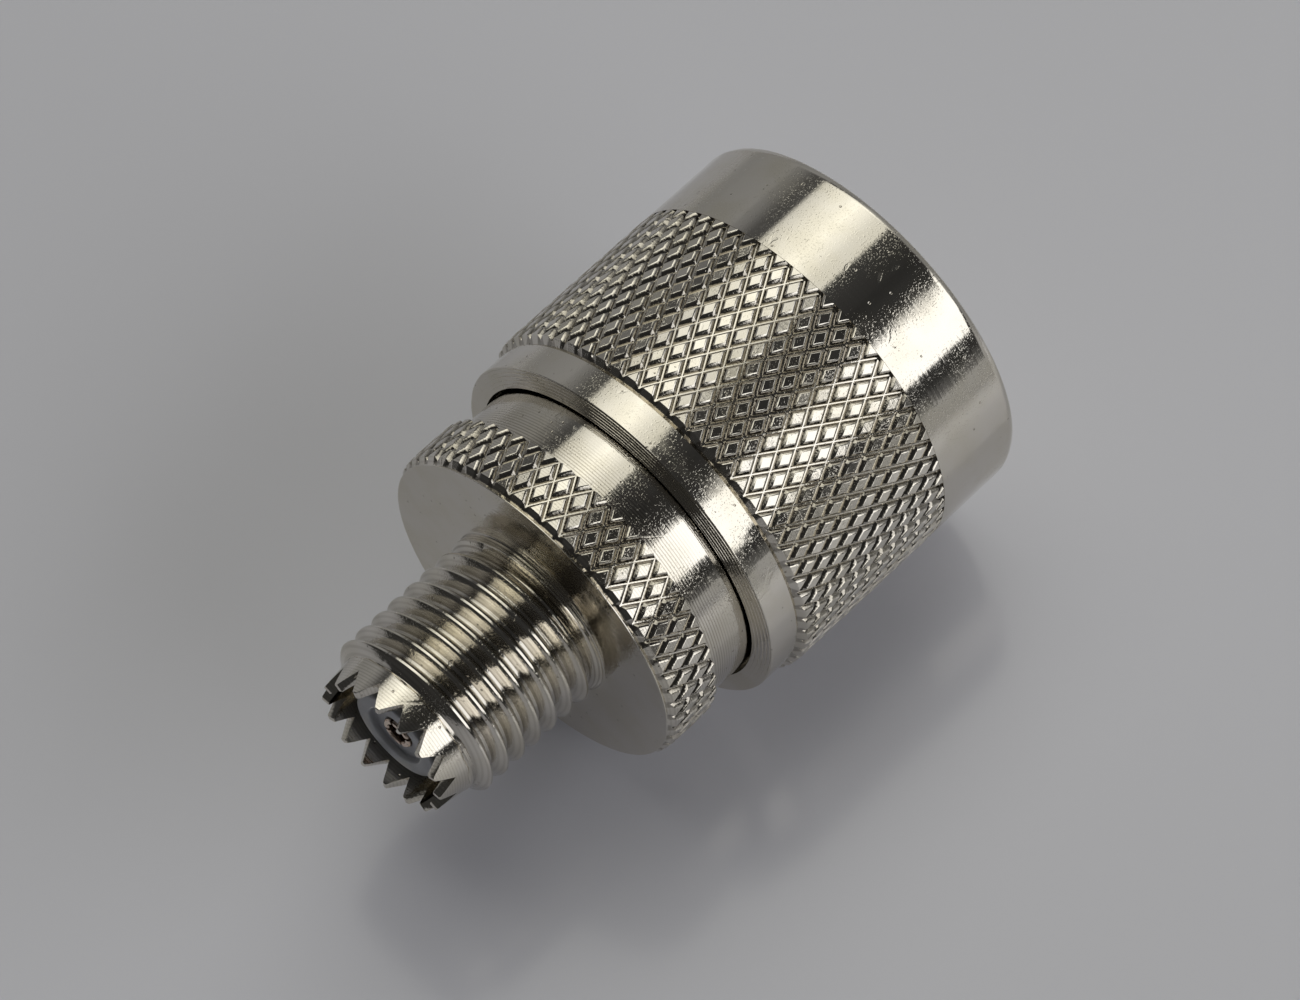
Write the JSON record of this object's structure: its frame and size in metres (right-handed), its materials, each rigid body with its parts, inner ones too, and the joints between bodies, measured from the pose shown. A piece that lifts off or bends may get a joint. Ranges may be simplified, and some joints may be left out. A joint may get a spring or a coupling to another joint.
{
  "type": "n to mini uhf coaxial adapter",
  "caption": "Straight coaxial adapter: a plug with a knurled, free-turning coupling nut at one end and a small threaded jack with a serrated crown at the other.",
  "frame": {"origin": "centre of the coupling nut's mouth plane, on which the adapter stands", "axes": "+Z along the adapter's axis, from the plug's coupling nut towards the jack's serrated crown; -Y faces the picture's camera"},
  "size_m": [0.0204, 0.0204, 0.0326],
  "materials": {
    "nickel_plate": "bright nickel plate with fine turning lines",
    "nickel_sleeve": "bright nickel plate",
    "spring_wire": "spring wire, dull",
    "silicone": "red silicone, matt",
    "front_dielectric": "white fluoropolymer, waxy",
    "rear_dielectric": "milky white plastic, slightly translucent",
    "gold_pin": "gold plated brass",
    "gold_socket": "gold plated bronze, thin at the slot edges"
  },
  "bodies": {
    "adapter_body": {"rear_shell": "nickel_plate", "outer_contact_sleeve": "nickel_sleeve", "front_gasket": "silicone", "front_insulator": "front_dielectric", "rear_insulator": "rear_dielectric", "centre_pin": "gold_pin", "socket_contact": "gold_socket"},
    "retaining_ring": {"snap_ring": "spring_wire"},
    "coupling_nut": {"coupling_nut": "nickel_plate"}
  },
  "joints": [
    {"name": "nut_float", "type": "slide", "parent": "adapter_body", "child": "retaining_ring", "axis": [0, 0, 1], "range_m": [-0.0003, 0]},
    {"name": "nut_turn", "type": "hinge", "parent": "retaining_ring", "child": "coupling_nut", "pos_m": [0, 0, 0.0132], "axis": [0, 0, 1], "continuous": true}
  ]
}
